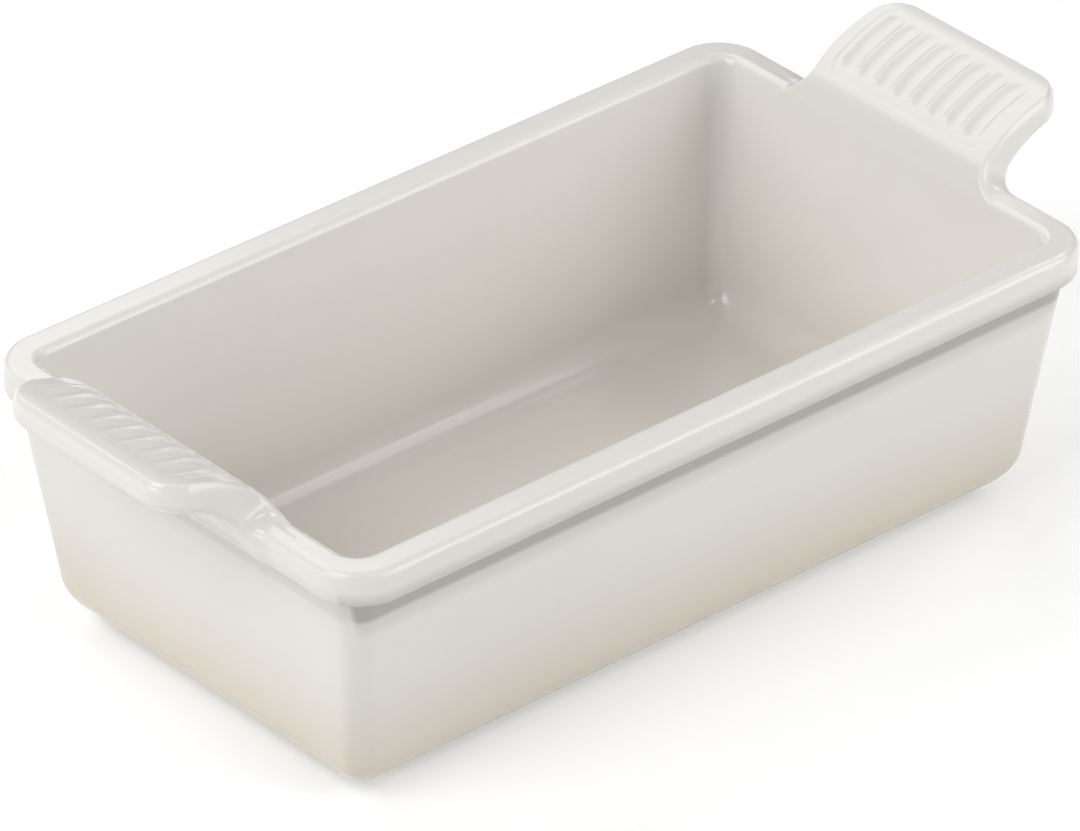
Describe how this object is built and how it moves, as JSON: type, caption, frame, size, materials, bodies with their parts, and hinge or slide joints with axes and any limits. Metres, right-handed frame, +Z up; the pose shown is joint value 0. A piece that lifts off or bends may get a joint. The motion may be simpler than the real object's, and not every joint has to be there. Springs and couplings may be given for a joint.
{
  "type": "rectangular baking dish",
  "caption": "Rectangular loaf dish of glazed stoneware with sloping walls, a banded rim and a fluted tab handle rising from each short end, for baking and serving.",
  "frame": {"origin": "middle of the dish, on the surface it stands on", "axes": "+X along the dish towards right_handle, +Y across the dish, +Z up out of the dish's mouth"},
  "size_m": [0.3014, 0.1446, 0.0969],
  "materials": {
    "fired_clay": "fired stoneware, matt",
    "outside_glaze": "glossy cream glaze",
    "inside_glaze": "glossy cream glaze",
    "bare_foot": "unglazed stoneware, ground flat",
    "glazed_rim": "glossy cream glaze",
    "glazed_handle": "glossy cream glaze"
  },
  "bodies": {
    "root": {"basin": "fired_clay", "outside_glaze": "outside_glaze", "inside_glaze": "inside_glaze", "foot_ring": "bare_foot", "rim": "glazed_rim", "left_handle": "glazed_handle", "right_handle": "glazed_handle"}
  },
  "joints": []
}
